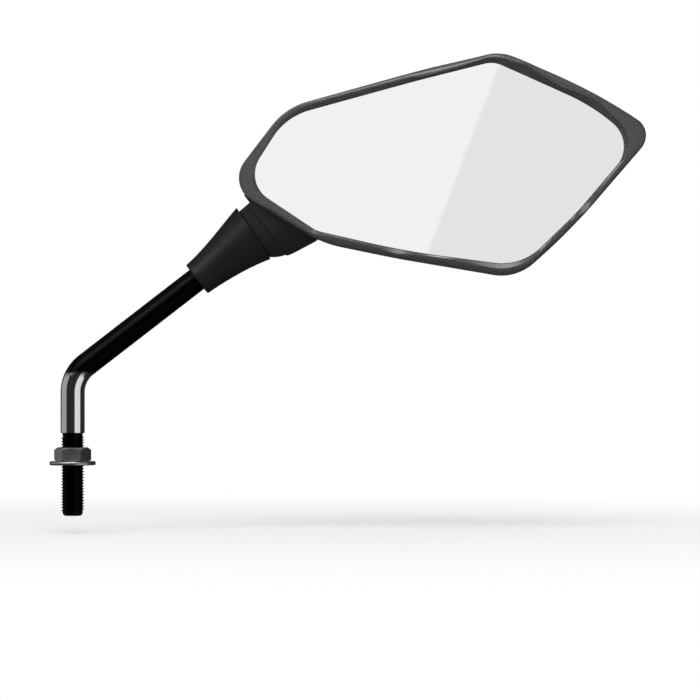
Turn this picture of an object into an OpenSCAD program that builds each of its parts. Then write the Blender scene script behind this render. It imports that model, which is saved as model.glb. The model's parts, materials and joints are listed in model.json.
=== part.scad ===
// Motorcycle mirror: a bent rod, a ball joint under a tapered boot, and a moulded head with convex glass.
// Frame: the origin is on the stud's axis at the washer's seat. Z is up, X outboard, the glass faces -Y.

/* [Stem] */
// Diameter of the rod
rod_d = 10.5; // [10:0.5:12]
// Height of the bend's corner above the washer's seat
riser_h = 39; // [34:1:80]
// Angle of the arm above level, in degrees
arm_angle = 37.7; // [20:0.1:60]
// Length from the bend's corner to the ball's centre
arm_l = 110; // [95:1:160]
// Radius of the bend at the rod's centreline
bend_r = 15; // [12:1:20]

/* [Stud and lock nut] */
// Diameter of the stud
stud_d = 10; // [8:0.5:10]
// Length of the stud below the washer's seat
stud_l = 22; // [16:1:32]
// Chamfer at the stud's end
stud_chamfer = 1; // [0.5:0.1:1.5]
// Size of the lock nut across its flats
nut_flats = 14; // [13:1:19]
// Height of the lock nut
nut_h = 6; // [4:0.5:9]
// Diameter of the washer
washer_d = 20; // [18:1:24]
// Thickness of the washer
washer_t = 1.6; // [1.2:0.1:2.5]

/* [Ball joint] */
// Diameter of the pivot ball
ball_d = 15; // [14:0.5:16]
// Diameter of the spigot that carries the ball
spigot_d = 8; // [6:0.5:8]
// Wall of the seat and of the cup that grip the ball
liner_t = 1.5; // [1.2:0.1:2]
// Wall of the neck's nose round the seat
nose_t = 6.8; // [6:0.1:7]
// Wall of the socket tube inside the head
tube_t = 2.2; // [1.8:0.1:3]
// Length of the socket tube from the ball's centre
tube_l = 17; // [16.5:0.5:20]
// Roll of the head either way, in degrees
roll_limit = 10; // [4:1:10]
// Nod of the head either way, in degrees
nod_limit = 12; // [4:1:12]
// Outside diameter of the pressure spring
spring_d = 14; // [12:0.5:15]
// Diameter of the spring's wire
spring_wire = 1.6; // [1.2:0.1:1.8]
// Turns of the spring
spring_turns = 2.5; // [2:0.5:2.5]
// Thickness of the retainer plate
retainer_t = 2; // [1.5:0.1:3]

/* [Boot] */
// Diameter of the boot's small end
boot_small_d = 15.6; // [15:0.2:18]
// Diameter of the boot's mouth
boot_mouth_d = 26.8; // [25.8:0.2:27]
// Length of the boot
boot_l = 31.7; // [28:0.1:40]
// Wall of the boot
boot_t = 2.2; // [1.5:0.1:2.5]

/* [Head] */
// Width of the head
head_w = 184.4; // [170:0.2:210]
// Height of the head
head_h = 97.6; // [92:0.2:115]
// Depth of the dome behind the rim
dome_h = 30; // [28:1:36]
// Depth of the rim band in front of the dome
rim_h = 8.5; // [8:0.5:10]
// How much shallower the dome is at its outboard tip, as a share of its depth
tip_taper = 0.35; // [0:0.05:0.5]
// Wall of the housing
wall = 2.5; // [2:0.1:2.8]
// Diameter of the neck at its collar, above the boot's mouth
neck_d = 32.2; // [32:0.2:34]

/* [Glass] */
// Thickness of the glass
glass_t = 2; // [1.8:0.1:2.4]
// Radius of the convex glass
glass_r = 1400; // [1200:50:2000]
// Depth of the middle of the glass behind the rim's crest
glass_recess = 1.3; // [0.8:0.1:1.8]
// Gap round the glass
glass_gap = 0.3; // [0.2:0.05:0.5]
// Thickness of the foam pad
pad_t = 0.8; // [0.5:0.1:1]
// Thickness of the backing plate
plate_t = 2; // [1.6:0.1:2.2]
// Inset of the backing plate from the edge of the glass
plate_inset = 1.5; // [1:0.5:3]

/* [Hidden] */
$fn = 48;

// Clearances
fit = 0.05;
slide_fit = 0.1;
spring_fit = 0.3;
seam_gap = 0.4;
touch = 0.02;
overlap = 0.5;

// Stem
rod_r = rod_d / 2;
stud_r = stud_d / 2;
groove_w = washer_t * 0.7;
groove_depth = 0.4;
nut_travel = 5;
bend_swell = 0.02;
bend_lap = 0.3;
bend_angle = 90 - arm_angle;
bend_set = bend_r * tan(bend_angle / 2);
ball_x = arm_l * cos(arm_angle);
ball_z = riser_h + arm_l * sin(arm_angle);

// Ball joint, along the arm from the ball's centre
ball_r = ball_d / 2;
spigot_r = spigot_d / 2;
liner_r = ball_r + fit + liner_t;
socket_r = liner_r + slide_fit;
nose_r = socket_r + nose_t;
tube_r = socket_r + tube_t;
tilt_limit = acos(cos(roll_limit) * cos(nod_limit));
tilt_margin = 1.2;
throat_in = asin(spigot_r / socket_r) + tilt_limit + tilt_margin + 1;
throat_out = asin(rod_r / nose_r) + tilt_limit + tilt_margin - 1;
split_gap = liner_r * sin(roll_limit) / 2 + 0.15;
spigot_end = sqrt(ball_r * ball_r - spigot_r * spigot_r) - 0.3;
seat_flange_t = 3;
seat_boss_h = 2;
seat_top = liner_r + seat_boss_h;
spring_top = tube_l - touch;
ear_r = 2.8;
ear_ring_r = tube_r + 1.2;
ear_l = 8;
retainer_room = 8;
retainer_gap = 0.3;
retainer_slot = 2.6;
screw_r = 1.5;
screw_head_r = 2.5;
screw_head_h = 1.8;
ear_angles = [35, 180, 325];

// Boot
boot_power = 1.5;
boot_steps = 12;
boot_hollow_r = nose_r + seam_gap;
boot_lip = 0.5;
boot_gap = sqrt(pow(boot_hollow_r, 2) - pow(boot_mouth_d / 2 - boot_lip, 2));
boot_mouth_angle = atan2(boot_mouth_d / 2, boot_gap);
boot_grip_l = 6;
boot_room_end = 0.8 * boot_hollow_r;

// Neck
collar_angle = boot_mouth_angle + tilt_limit + tilt_margin + 3;
neck_r = neck_d / 2;
collar_s = -5.3;
neck_flare = 2.5;
neck_flare_s = 9.2;
neck_end_s = 48;
neck_top_trim = 12.2;
neck_top_s = -1;

// Outline of the head seen from the front, round the ball's centre: across, up, corner radius
outline_size = [184.4, 97.6];
outer_nominal = [
    [-19.6, 14.3, 11.5], [5.8, 47.7, 29.8], [66.4, 64.6, 298], [98.7, 72, 19.2], [137.5, 55.3, 230],
    [164.8, 37.5, 8.3], [128.3, -4.9, 270], [105.1, -25.6, 20.4], [54.3, -17, 365], [22, -10.4, 50]
];
// Outline of the glass, with the same corners
glass_nominal = [
    [-12.4, 15.8, 12.8], [6, 44.1, 27.5], [61.9, 59.4, 302], [95.2, 67.8, 11.2], [137.3, 49, 86],
    [156.9, 33, 12.6], [131.2, 2.8, 120], [107.2, -20.5, 24], [57.5, -14, 350], [19.1, -5.2, 13.4]
];
stretch = [head_w / outline_size[0], head_h / outline_size[1]];
outer_corners = stretched(outer_nominal);
glass_corners = stretched(glass_nominal);
arc_steps = 5;

// Depths of the head, along Y from the ball's centre
dome_start = -12;
crest_y = dome_start - rim_h;
glass_y = crest_y + glass_recess;
glass_centre = [73 * stretch[0], 24 * stretch[1]];
glass_reach = 95 * max(stretch[0], stretch[1]);
dome_centre = [48 * stretch[0], 24 * stretch[1]];
dome_reach = 120 * stretch[0];
crown_share = 0.3;
dome_angles = [0, 15, 30, 45, 60, 75, 90];

// Screws that hold the backing plate, across and up from the ball's centre
plate_screw_places = [[34, 36], [97, 50], [44, 2], [112, 2]];
plate_boss_r = 3.6;
plate_screw_r = 2;
plate_screw_head_r = 3.4;
plate_screw_l = 9;
plate_screw_seat = 0.5 * plate_t;
plate_screw_head_h = 0.4 * plate_t;

// Frames
module at_ball() {
    translate([ball_x, 0, ball_z]) children();
}

// Local Z runs outboard along the arm, and local X points down from it
module along_arm() {
    at_ball() rotate([0, 90 - arm_angle, 0]) children();
}

// Local Z runs back along Y, and local Y points down
module facing_back() {
    at_ball() rotate([-90, 0, 0]) children();
}

// A point of a revolved profile: distance from the ball's centre and angle from the arm
function polar(r, a) = [r * sin(a), -r * cos(a)];
function arc(r, a0, a1, step = 4) =
    let (n = ceil(abs(a1 - a0) / step)) [for (i = [0 : n]) polar(r, a0 + (a1 - a0) * i / n)];

// Outlines with rounded corners
function unit(v) = v / norm(v);
function flat(c) = [c[0], c[1]];
function stretched(c) = [for (p = c) [p[0] * stretch[0], p[1] * stretch[1], p[2] * min(stretch)]];
function mix(a, b, t) = a * (1 - t) + b * t;
function mix_corners(a, b, t) = [for (i = [0 : len(a) - 1]) mix(a[i], b[i], t)];
function rays(c, i) =
    let (n = len(c), b = flat(c[i])) [
        unit(flat(c[(i + n - 1) % n]) - b),
        unit(flat(c[(i + 1) % n]) - b)
    ];
// Each side moved inward by d
function inset(c, d) = [
    for (i = [0 : len(c) - 1])
        let (ray = rays(c, i), turn = acos(ray[0] * ray[1]), b = flat(c[i]) + (ray[0] + ray[1]) * d / sin(turn))
            [b[0], b[1], max(c[i][2] - d, 1)]
];
function shrink(c, centre, share) = [
    for (p = c) [centre[0] + (p[0] - centre[0]) * share, centre[1] + (p[1] - centre[1]) * share, p[2] * share]
];
function rounded(c) = [
    for (i = [0 : len(c) - 1])
        let (
            ray = rays(c, i),
            half = acos(ray[0] * ray[1]) / 2,
            centre = flat(c[i]) + unit(ray[0] + ray[1]) * c[i][2] / sin(half),
            first = flat(c[i]) + ray[0] * c[i][2] / tan(half) - centre,
            start = atan2(first[1], first[0])
        )
            for (k = [0 : arc_steps])
                let (a = start - (180 - 2 * half) * k / arc_steps)
                    centre + c[i][2] * [cos(a), sin(a)]
];
function ring(c, y) = [for (p = rounded(c)) [p[0], y, p[1]]];

// A closed skin over rings that run from front to back
module loft(rings, front, back) {
    n = len(rings[0]);
    m = len(rings);
    points = concat([for (r = rings) for (p = r) p], [front, back]);
    sides = [
        for (i = [0 : m - 2]) for (j = [0 : n - 1])
            let (a = i * n + j, b = i * n + (j + 1) % n)
                each [[a, b + n, b], [a, a + n, b + n]]
    ];
    front_cap = [for (j = [0 : n - 1]) [m * n, j, (j + 1) % n]];
    back_cap = [for (j = [0 : n - 1]) [m * n + 1, (m - 1) * n + (j + 1) % n, (m - 1) * n + j]];
    polyhedron(points, concat(sides, front_cap, back_cap), convexity = 6);
}

// Dome behind the rim, deepest near the neck
function dome_y(x, a, depth) =
    dome_start + depth * sin(a) * (1 - tip_taper * max(0, x - dome_centre[0]) / dome_reach);
function dome_corners(a) = shrink(outer_corners, dome_centre, 1 - (1 - crown_share) * (1 - cos(a)));
function dome_ring(c, a, depth) = [for (p = rounded(c)) [p[0], dome_y(p[0], a, depth), p[1]]];
function dome_top(depth) = [dome_centre[0], dome_y(dome_centre[0], 90, depth), dome_centre[1]];

function rim_ring(t, y) = ring(mix_corners(outer_corners, glass_corners, t), y);

module head_solid() {
    rings = concat(
        [
            rim_ring(0.42, crest_y),
            rim_ring(0.2, crest_y + 0.3),
            rim_ring(0.05, crest_y + 1.2),
            rim_ring(0, crest_y + 2.6)
        ],
        [for (a = dome_angles) dome_ring(dome_corners(a), a, dome_h)]
    );
    loft(rings, [glass_centre[0], crest_y, glass_centre[1]], dome_top(dome_h));
}

module head_cavity() {
    opening = inset(glass_corners, -glass_gap);
    inner_h = dome_h - wall;
    rings = concat(
        [
            ring(mix_corners(outer_corners, opening, 0.5), crest_y - overlap),
            ring(mix_corners(outer_corners, opening, 0.62), crest_y + 0.2),
            ring(opening, crest_y + 2.2),
            ring(opening, dome_start - overlap)
        ],
        [for (a = dome_angles) dome_ring(inset(dome_corners(a), wall), a, inner_h)]
    );
    loft(rings, [glass_centre[0], crest_y - overlap, glass_centre[1]], dome_top(inner_h));
}

// Screw along local Z, with its head's seat at zero and its tip below
module screw(shank_r, l, head_r, head_h, recess) {
    difference() {
        union() {
            translate([0, 0, -l]) cylinder(r = shank_r, h = l + overlap);
            rotate_extrude() polygon(concat(
                [[0, 0], [head_r, 0]],
                [for (a = [0 : 15 : 75]) [head_r * cos(a), head_h * (0.4 + 0.6 * sin(a))]],
                [[0, head_h]]
            ));
        }
        for (a = [0, 90])
            rotate([0, 0, a]) translate([0, 0, head_h]) cube([recess, recess / 4, head_h], center = true);
    }
}

module stem() {
    stud_top = washer_t + nut_h + nut_travel + 1;
    arm_start = bend_set - arm_l;
    shoulder_s = -(nose_r + 2);
    color("#1b1b1c") difference() {
        union() {
            translate([0, 0, stud_chamfer - stud_l]) cylinder(r = stud_r, h = stud_l - stud_chamfer + stud_top);
            translate([0, 0, -stud_l]) cylinder(r1 = stud_r - stud_chamfer, r2 = stud_r, h = stud_chamfer);
            translate([0, 0, stud_top]) cylinder(r = rod_r, h = riser_h - bend_set - stud_top + bend_lap);
            // The bend is a hair thicker than the straight lengths that run into it
            translate([bend_r, 0, riser_h - bend_set]) rotate([90, 0, 180])
                rotate_extrude(angle = bend_angle) translate([bend_r, 0]) circle(r = rod_r + bend_swell);
            along_arm() {
                translate([0, 0, arm_start - bend_lap]) cylinder(r = rod_r, h = shoulder_s - arm_start + bend_lap);
                translate([0, 0, shoulder_s]) cylinder(r1 = rod_r, r2 = spigot_r, h = rod_r - spigot_r + touch);
                translate([0, 0, shoulder_s]) cylinder(r = spigot_r, h = spigot_end - shoulder_s);
            }
        }
        // Relief groove inside the washer, where the free length of the stud ends
        difference() {
            cylinder(r = rod_d, h = groove_w);
            translate([0, 0, -overlap]) cylinder(r = stud_r - groove_depth, h = groove_w + 2 * overlap);
        }
    }
}

module pivot_ball() {
    color("#b9babd") along_arm() difference() {
        sphere(r = ball_r);
        translate([0, 0, -ball_d]) cylinder(r = spigot_r + touch, h = 2 * ball_d);
    }
}

module boot() {
    outside = [
        for (i = [0 : boot_steps])
            let (t = i / boot_steps)
                [mix(boot_small_d, boot_mouth_d, pow(t, boot_power)) / 2, boot_l * (t - 1) - boot_gap]
    ];
    start = -boot_l - boot_gap;
    color("#202122") along_arm() difference() {
        rotate_extrude() polygon(concat([[rod_r + touch, start]], outside, [[rod_r + touch, -boot_gap]]));
        sphere(r = boot_hollow_r, $fn = 96);
        // Room round the rod, past the collar that grips it
        translate([0, 0, start + boot_grip_l]) cylinder(
            r1 = boot_small_d / 2 - boot_t, r2 = boot_hollow_r / 2, h = -boot_room_end - boot_grip_l - start
        );
    }
}

module washer() {
    color("#8f9093") difference() {
        cylinder(d = washer_d, h = washer_t);
        translate([0, 0, -overlap]) cylinder(r = stud_r + slide_fit, h = washer_t + 2 * overlap);
    }
}

module lock_nut() {
    chamfer_h = nut_h / 5;
    nut_edge = 0.4;
    corner_r = nut_flats / 2 / cos(30);
    base = washer_t + touch;
    color("#8f9093") difference() {
        intersection() {
            translate([0, 0, base]) cylinder(r = corner_r, h = nut_h, $fn = 6);
            translate([0, 0, base]) rotate_extrude() polygon([
                [0, 0], [nut_flats / 2, 0], [corner_r, chamfer_h / 2], [corner_r, nut_h - chamfer_h],
                [nut_flats / 2 - nut_edge, nut_h], [0, nut_h]
            ]);
        }
        translate([0, 0, base - overlap]) cylinder(r = stud_r + fit, h = nut_h + 2 * overlap);
    }
}

// Half liner between two spheres, from the split to the arm's opening
module ball_seat() {
    color("#d8d4c6") along_arm() difference() {
        sphere(r = liner_r);
        sphere(r = ball_r + fit);
        translate([-ball_d, -ball_d, -split_gap]) cube(2 * ball_d);
        translate([0, 0, -ball_d]) cylinder(r = spigot_r + 1, h = ball_d);
    }
}

module pressure_cup() {
    color("#d8d4c6") along_arm() difference() {
        sphere(r = liner_r);
        sphere(r = ball_r + fit);
        translate([-ball_d, -ball_d, split_gap - 2 * ball_d]) cube(2 * ball_d);
        cylinder(r = spigot_r / 2, h = ball_d);
    }
}

module spring_seat() {
    color("#77797c") along_arm() difference() {
        union() {
            translate([0, 0, seat_top - seat_flange_t]) cylinder(r = liner_r, h = seat_flange_t);
            translate([0, 0, seat_top - touch]) cylinder(r = spring_d / 2 - spring_wire - spring_fit, h = seat_boss_h);
        }
        sphere(r = liner_r + fit);
        cylinder(r = spigot_r / 2, h = 2 * seat_top);
    }
}

module pressure_spring() {
    steps = 16;
    sides = 8;
    wire_r = spring_wire / 2;
    coil_r = spring_d / 2 - wire_r;
    first = seat_top + wire_r + touch;
    rise = spring_top - seat_top - spring_wire - 2 * touch;
    count = ceil(spring_turns * steps);
    points = [
        for (i = [0 : count])
            let (a = 360 * i / steps, z = first + rise * i / count)
                for (k = [0 : sides - 1])
                    let (b = 360 * (k + 0.5) / sides, r = coil_r + wire_r * cos(b))
                        [r * cos(a), r * sin(a), z + wire_r * sin(b)]
    ];
    skin = [
        for (i = [0 : count - 1]) for (k = [0 : sides - 1])
            let (p = i * sides + k, q = i * sides + (k + 1) % sides)
                each [[p, q, q + sides], [p, q + sides, p + sides]]
    ];
    start_cap = [[for (k = [0 : sides - 1]) sides - 1 - k]];
    end_cap = [[for (k = [0 : sides - 1]) count * sides + k]];
    color("#9a9b9e") along_arm() polyhedron(points, concat(skin, start_cap, end_cap), convexity = 8);
}

module ears(r, from, l) {
    for (a = ear_angles)
        rotate([0, 0, a]) translate([ear_ring_r, 0, from]) cylinder(r = r, h = l);
}

module retainer_plate() {
    color("#8a8c90") along_arm() difference() {
        union() {
            translate([0, 0, tube_l + touch]) cylinder(r = tube_r, h = retainer_t);
            ears(ear_r, tube_l + touch, retainer_t);
        }
        ears(screw_r + slide_fit, tube_l - overlap, retainer_t + 2 * overlap);
        cylinder(r = spigot_r / 2, h = 2 * tube_l);
    }
}

module retainer_screw(i) {
    color("#9a9b9e") along_arm() rotate([0, 0, ear_angles[i]])
        translate([ear_ring_r, 0, tube_l + retainer_t + 2 * touch])
            screw(screw_r, ear_l, screw_head_r, screw_head_h, retainer_slot);
}

// Neck outside the head: a round nose that turns in the boot's mouth, a collar, and a fairing into the dome
module neck() {
    profile = concat(
        [[0, -nose_r * cos(throat_out)]],
        arc(nose_r, throat_out, collar_angle),
        [[neck_r, collar_s]],
        [for (t = [0.5, 1]) [neck_r + neck_flare * t, mix(collar_s, neck_flare_s, t)]],
        [
            for (a = [15 : 15 : 75])
                [(neck_r + neck_flare) * cos(a), mix(neck_flare_s, neck_end_s, sin(a))]
        ],
        [[0, neck_end_s]]
    );
    difference() {
        rotate_extrude() polygon(profile);
        // The top of the nose and collar is cut flat below the rim
        translate([-2 * neck_d - neck_top_trim, -neck_d, neck_top_s - neck_d]) cube([2 * neck_d, 2 * neck_d, neck_d]);
    }
}

module housing() {
    color("#232324") difference() {
        union() {
            at_ball() head_solid();
            along_arm() neck();
        }
        difference() {
            at_ball() head_cavity();
            along_arm() {
                cylinder(r = tube_r, h = tube_l + overlap);
                ears(ear_r, tube_l - ear_l - 3, ear_l + 3 + overlap);
            }
            plate_screw_axes() cylinder(r = plate_boss_r, h = 2 * dome_h);
        }
        along_arm() {
            sphere(r = socket_r);
            cylinder(r = socket_r, h = tube_l + overlap);
            rotate_extrude() polygon([
                [0, 0], [socket_r * sin(throat_in), 0], polar(socket_r, throat_in),
                polar(nose_r + overlap, throat_out), [0, -nose_r - overlap]
            ]);
            ears(screw_r + touch, tube_l - ear_l - 1, ear_l + 2);
            // The tube's end, and room for the retainer that is open towards the inside of the head
            translate([0, 0, tube_l]) cylinder(r = ear_ring_r + ear_r + retainer_gap, h = retainer_room);
        }
        plate_screw_axes() translate([0, 0, -overlap]) cylinder(r = plate_screw_r + touch, h = plate_screw_l + 1);
    }
}

// Local Z runs back from the plate's rear face at each screw
module plate_screw_axes(which = [0, 1, 2, 3]) {
    for (i = which)
        facing_back()
            translate([plate_screw_places[i][0] * stretch[0], -plate_screw_places[i][1] * stretch[1], plate_back_y(i)])
                children();
}

// Depth of the curved sheets behind the middle of the glass
function sag(r) = glass_r - sqrt(glass_r * glass_r - r * r);
function screw_off(i) = [
    plate_screw_places[i][0] * stretch[0] - glass_centre[0],
    plate_screw_places[i][1] * stretch[1] - glass_centre[1]
];
function plate_back_y(i) = glass_y + glass_t + pad_t + plate_t + sag(norm(screw_off(i)) + plate_boss_r);

// A sheet of the glass's curve, from one depth to another, cut to an outline
module curved_sheet(corners, from, to) {
    steps = 12;
    near = [for (i = [0 : steps]) let (r = glass_reach * i / steps) [r, sag(r) + from]];
    far = [for (i = [steps : -1 : 0]) let (r = glass_reach * i / steps) [r, sag(r) + to]];
    at_ball() intersection() {
        translate([glass_centre[0], 0, glass_centre[1]]) rotate([-90, 0, 0])
            rotate_extrude($fn = 96) polygon(concat(near, far));
        rotate([90, 0, 0]) linear_extrude(height = 2 * dome_h, center = true) polygon(rounded(corners));
    }
}

module mirror_glass() {
    color("#e6e7e8") curved_sheet(glass_corners, glass_y, glass_y + glass_t);
}

module glass_pad() {
    start = glass_y + glass_t + touch;
    color("#3a3a3c") curved_sheet(inset(glass_corners, plate_inset), start, start + pad_t - 2 * touch);
}

module backing_plate() {
    start = glass_y + glass_t + pad_t + touch;
    color("#303133") difference() {
        curved_sheet(inset(glass_corners, plate_inset), start, start + plate_t - 2 * touch);
        plate_screw_axes() {
            translate([0, 0, -2 * plate_t]) cylinder(r = plate_screw_r + slide_fit, h = 4 * plate_t);
            translate([0, 0, -2 * plate_t]) cylinder(r = plate_screw_head_r + slide_fit, h = 2 * plate_t - plate_screw_seat);
        }
    }
}

module plate_screw(i) {
    color("#9a9b9e") plate_screw_axes([i]) translate([0, 0, -plate_screw_seat]) rotate([180, 0, 0])
        screw(plate_screw_r, plate_screw_l - 1, plate_screw_head_r, plate_screw_head_h, plate_screw_r);
}

stem();
pivot_ball();
boot();
washer();
lock_nut();
ball_seat();
pressure_cup();
spring_seat();
pressure_spring();
retainer_plate();
retainer_screw(0);  // retainer_screw_1
retainer_screw(1);  // retainer_screw_2
retainer_screw(2);  // retainer_screw_3
housing();
backing_plate();
glass_pad();
mirror_glass();
plate_screw(0);  // plate_screw_1
plate_screw(1);  // plate_screw_2
plate_screw(2);  // plate_screw_3
plate_screw(3);  // plate_screw_4
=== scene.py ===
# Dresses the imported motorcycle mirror: finer surfaces over its frame, real finishes, and a plain pale stage.
# Lengths are in metres, apart from the head's outlines and profiles, which are in millimetres.
# The origin is on the stud's axis at the washer's seat, Z is up and the glass faces -Y.

import json
import math

import bmesh
import bpy
from bpy.props import FloatProperty, FloatVectorProperty, IntProperty, PointerProperty
from mathutils import Matrix, Vector


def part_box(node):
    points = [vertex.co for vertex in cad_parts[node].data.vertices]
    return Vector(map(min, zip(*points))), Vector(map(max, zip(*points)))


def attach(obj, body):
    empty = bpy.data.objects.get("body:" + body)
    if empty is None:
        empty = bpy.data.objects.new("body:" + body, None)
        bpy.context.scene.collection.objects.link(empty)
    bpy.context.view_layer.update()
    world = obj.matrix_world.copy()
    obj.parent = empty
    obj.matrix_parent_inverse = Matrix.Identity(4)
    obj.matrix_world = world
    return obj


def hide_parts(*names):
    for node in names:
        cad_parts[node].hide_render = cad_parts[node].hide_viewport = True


bl_info = {
    "name": "Motorcycle Mirror",
    "version": (1, 0, 0),
    "blender": (4, 5, 0),
    "location": "View3D > Sidebar > Mirror",
    "description": "Visible pieces, finishes and stage of a motorcycle mirror, built round its packed frame",
    "category": "Object",
}

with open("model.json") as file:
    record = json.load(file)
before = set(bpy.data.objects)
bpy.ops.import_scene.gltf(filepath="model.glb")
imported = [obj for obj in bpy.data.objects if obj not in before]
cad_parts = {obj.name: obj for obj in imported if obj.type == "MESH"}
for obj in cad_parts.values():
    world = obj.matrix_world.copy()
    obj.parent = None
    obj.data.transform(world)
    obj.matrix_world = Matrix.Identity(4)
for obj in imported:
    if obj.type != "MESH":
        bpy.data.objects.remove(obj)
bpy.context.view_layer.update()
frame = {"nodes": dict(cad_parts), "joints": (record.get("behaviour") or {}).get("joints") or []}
MM = 0.001
JOINTS = {joint["name"]: joint for joint in frame["joints"]}
BALL = Vector(JOINTS["head_swivel"]["pos_m"])
ARM = Vector(JOINTS["head_swivel"]["axis"]).normalized()
THREAD_PITCH = JOINTS["nut_travel"]["range_m"][1] / (JOINTS["nut_spin"]["range_deg"][1] / 360)
ORIGIN, UP, BACK = Vector((0, 0, 0)), Vector((0, 0, 1)), Vector((0, 1, 0))

# Stem, in metres
# Heights at which the matt coat starts and is full, and how far its edge wanders
MATT_START, MATT_FULL, MATT_WANDER = 0.0385, 0.0415, 0.0012
# Heights between which the stud turns dull
STUD_BRIGHT, STUD_DULL = 0.0139, 0.0137
STUD_POINT = 0.0008
SHOULDER_EDGE = 0.0005
# Where the spigot starts, out of the neck's nose, and the length over which the rod thins to it
SPIGOT_OUT, SPIGOT_STEP = 0.002, 0.001
BEND_STEPS = 24
# The thread: its height over the root, how deep it is sunk in that, and half its width there and on top
THREAD_DEPTH, THREAD_SUNK, THREAD_FOOT, THREAD_CREST = 0.00062, 0.0004, 0.00056, 0.00009
# Plain lengths of the stud below and above the thread
THREAD_LOW, THREAD_HIGH = 0.0016, 0.0012
# Steps in a turn and in the run-out, and the share of the thread that is left at its very ends
TURN_STEPS, FADE_STEPS, THREAD_END = 48, 12, 0.05

# Boot, nut, washer and screws, in metres
# Play that keeps pieces which touch from sharing a surface
CONTACT_GAP = 0.00002
BOOT_EDGE, BOOT_MOUTH_EDGE = 0.0005, 0.0002
BOOT_WALL, BOOT_GRIP_L = 0.0022, 0.0062
# Angle off the arm at which the boot's hollow ends, in degrees
BOOT_THROAT = 31
# The boot's flare: 1 is a straight cone
BOOT_CURVE, BOOT_STEPS = 1.5, 28
WASHER_PLAY, WASHER_EDGE = 0.0001, 0.0002
NUT_PLAY = 0.00005
# Countersinks and bevels of the nut, each below and above
NUT_SINKS, NUT_BEVELS = (0.0004, 0.0005), (0.0007, 0.0012)
NUT_FACE_IN, NUT_PAST = 0.0003, 0.0001
PLATE_HEAD_H = 0.0008
RETAINER_T = 0.00204
RETAINER_HEAD_R, RETAINER_HEAD_H = 0.0025, 0.0018
RETAINER_SHANK_R, RETAINER_SHANK_L = 0.0015, 0.008
EAR_RING_R, EAR_ANGLES = 0.01255, (35, 180, 325)
# The most that chance turns a screw about its own axis, in radians
SCREW_TURNS = 1.4

# A screw's tip, head and cross, as shares of its shank or head
TIP_R, TIP_L, HEAD_EDGE = 0.7, 0.6, 0.4
CROSS_REACH, CROSS_HALF, CROSS_FLOOR = 0.5, 0.12, 0.45

# Head, in millimetres round the ball's centre. A name that ends in _S is a place along the arm
# Corners of the outlines: across, up, corner radius
OUTER = (
    (-19.6, 14.3, 11.5), (5.8, 47.7, 29.8), (66.4, 64.6, 298), (98.7, 72, 19.2), (137.5, 55.3, 230),
    (164.8, 37.5, 8.3), (128.3, -4.9, 270), (105.1, -25.6, 20.4), (54.3, -17, 365), (22, -10.4, 50),
)
GLASS = (
    (-12.4, 15.8, 12.8), (6, 44.1, 27.5), (61.9, 59.4, 302), (95.2, 67.8, 11.2), (137.3, 49, 86),
    (156.9, 33, 12.6), (131.2, 2.8, 120), (107.2, -20.5, 24), (57.5, -14, 350), (19.1, -5.2, 13.4),
)
GLASS_CENTRE = (73.0, 24.0)
GLASS_GAP = 0.15
# How straight forward the silvered face looks, where 1 is straight
FACING = 0.9
# The ground edge's depth in front and behind, as shares of its width, and the glass's rings
BEVEL_FRONT, BEVEL_BACK = 0.6, 0.5
GLASS_SHARES = (0.02, 0.1, 0.2, 0.3, 0.4, 0.5, 0.6, 0.7, 0.8, 0.9, 0.97)
DOME_CENTRE = (48.0, 24.0)
DOME_START = -12.0
# How much shallower the dome is at a reach from its centre
TIP_TAPER, DOME_REACH = 0.35, 120.0
# The nearly flat crown, as a share of the outline, and its rise
CROWN_SHARE, CROWN_RISE = 0.3, 0.4
ARC_STEPS = 14
EDGE_STEPS = 8
# Round the glass's centre: direction in degrees from +X, width of the slope inside the rim in millimetres,
# and how much of the rest is the rounded outer edge, where what is left is a flat land
RIM_FORM = (
    (0, 1.8, 0.4), (7, 1.5, 0.15), (13, 2.0, 0.15), (22, 3.4, 0.7), (45, 3.9, 0.95), (57, 3.2, 1.0),
    (66, 2.0, 1.0), (100, 1.8, 1.0), (150, 1.8, 0.9), (166, 1.5, 0.5), (177, 0.9, 0.14), (190, 1.0, 0.14),
    (198, 1.5, 0.5), (214, 1.8, 1.0), (303, 1.9, 1.0), (320, 2.2, 1.0), (352, 2.2, 0.9), (360, 1.8, 0.4),
)
# How far in the land is drawn, as a share of the rim, before the hollow is cut
RIM_START = 0.9
RIM_MARGIN = 0.1
# The rounded outer edge's depth, at most and as a share of its width
BEAD_DEPTH, BEAD_SHARE = 2.4, 0.75
# The slope inside the rim: its largest share of the rim, and its tilt in degrees
SLOPE_SHARE, SLOPE_TILT = 0.75, 26.0
# How far a cut reaches past what it cuts
OVERLAP = 0.5
NOSE_R = 15.95
SOCKET_R = 9.15
TUBE_R = 11.35
# Where the nose meets the collar, in degrees off the arm and along it
COLLAR_ANGLE, COLLAR_S = 72.9, -5.3
# Rounded edge of the collar: out from the neck's radius, and along the arm from its start
COLLAR_EDGE = ((-0.75, 0.6), (-0.35, 0.75), (-0.1, 1.1), (0.08, 1.7))
NECK_FLARE, NECK_FLARE_S, NECK_END_S = 2.5, 9.2, 48.0
# The flat on top of the nose: its distance from the arm, where it ends, and the block that cuts it
NECK_TOP_TRIM, NECK_TOP_S, TRIM_BLOCK = 11.8, -3.2, 66
# The throat's walls, in degrees off the arm at the nose and at the socket
THROAT_OUT, THROAT_IN = 35.0, 43.7
RETAINER_ROOM_R, RETAINER_ROOM_L = 15.65, 8.0

# Stage, in metres and watts. The photograph's frame is FRAME_HALF to each side of its centre
FRAME_CENTRE = Vector((0.12058, 0.0, 0.050))
FRAME_HALF = 0.15217
CAMERA_FAR = 1.5
SENSOR = 36.0
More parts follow.
